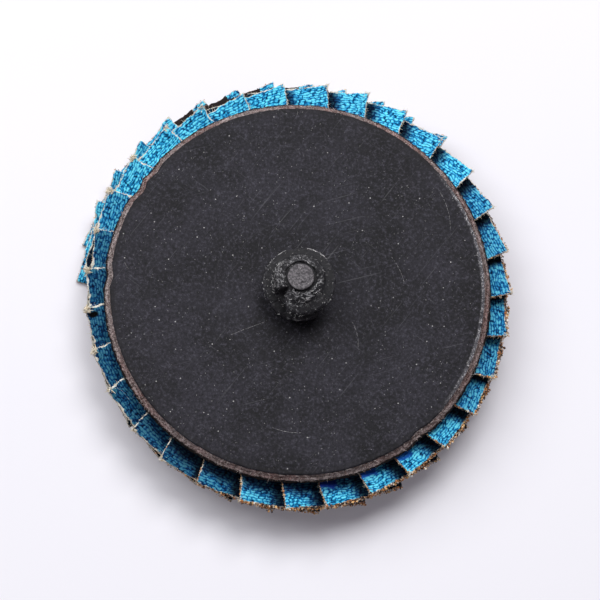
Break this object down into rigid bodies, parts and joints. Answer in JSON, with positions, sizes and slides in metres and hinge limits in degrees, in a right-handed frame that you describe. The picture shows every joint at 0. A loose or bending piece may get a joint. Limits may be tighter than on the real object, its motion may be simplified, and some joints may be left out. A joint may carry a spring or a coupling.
{
  "type": "flap disc",
  "caption": "Quick-change flap disc: overlapping abrasive cloth flaps bonded under a round backing plate, with a threaded stud to screw into a holder.",
  "frame": {"origin": "on the disc's axis, in the plane of the flaps' working face, on which the disc lies", "axes": "+Z runs along the disc's axis towards the stud's tip; +Y is the side away from the viewer in the picture"},
  "size_m": [0.0518, 0.0519, 0.0158],
  "materials": {
    "black_nylon": "moulded nylon, scuffed grey on the crests and the tip",
    "black_coating": "matte black, scratched and dusty",
    "brown_fibre": "fibre laminate with a fuzzy cut edge",
    "blue_abrasive_cloth": "coarse blue twill backing with frayed pale edges",
    "abrasive_grain": "coarse brown grain set in resin"
  },
  "bodies": {
    "root": {"threaded_stud": "black_nylon", "face_sheet": "black_coating", "backing_plate": "brown_fibre", "lower_flap_row": "abrasive_grain", "flap_01": "blue_abrasive_cloth", "flap_02": "blue_abrasive_cloth", "flap_03": "blue_abrasive_cloth", "flap_04": "blue_abrasive_cloth", "flap_05": "blue_abrasive_cloth", "flap_06": "blue_abrasive_cloth", "flap_07": "blue_abrasive_cloth", "flap_08": "blue_abrasive_cloth", "flap_09": "blue_abrasive_cloth", "flap_10": "blue_abrasive_cloth", "flap_11": "blue_abrasive_cloth", "flap_12": "blue_abrasive_cloth", "flap_13": "blue_abrasive_cloth", "flap_14": "blue_abrasive_cloth", "flap_15": "blue_abrasive_cloth", "flap_16": "blue_abrasive_cloth", "flap_17": "blue_abrasive_cloth", "flap_18": "blue_abrasive_cloth", "flap_19": "blue_abrasive_cloth", "flap_20": "blue_abrasive_cloth", "flap_21": "blue_abrasive_cloth", "flap_22": "blue_abrasive_cloth", "flap_23": "blue_abrasive_cloth", "flap_24": "blue_abrasive_cloth", "flap_25": "blue_abrasive_cloth", "flap_26": "blue_abrasive_cloth", "flap_27": "blue_abrasive_cloth", "flap_28": "blue_abrasive_cloth", "flap_29": "blue_abrasive_cloth", "flap_30": "blue_abrasive_cloth", "flap_31": "blue_abrasive_cloth"}
  },
  "joints": []
}
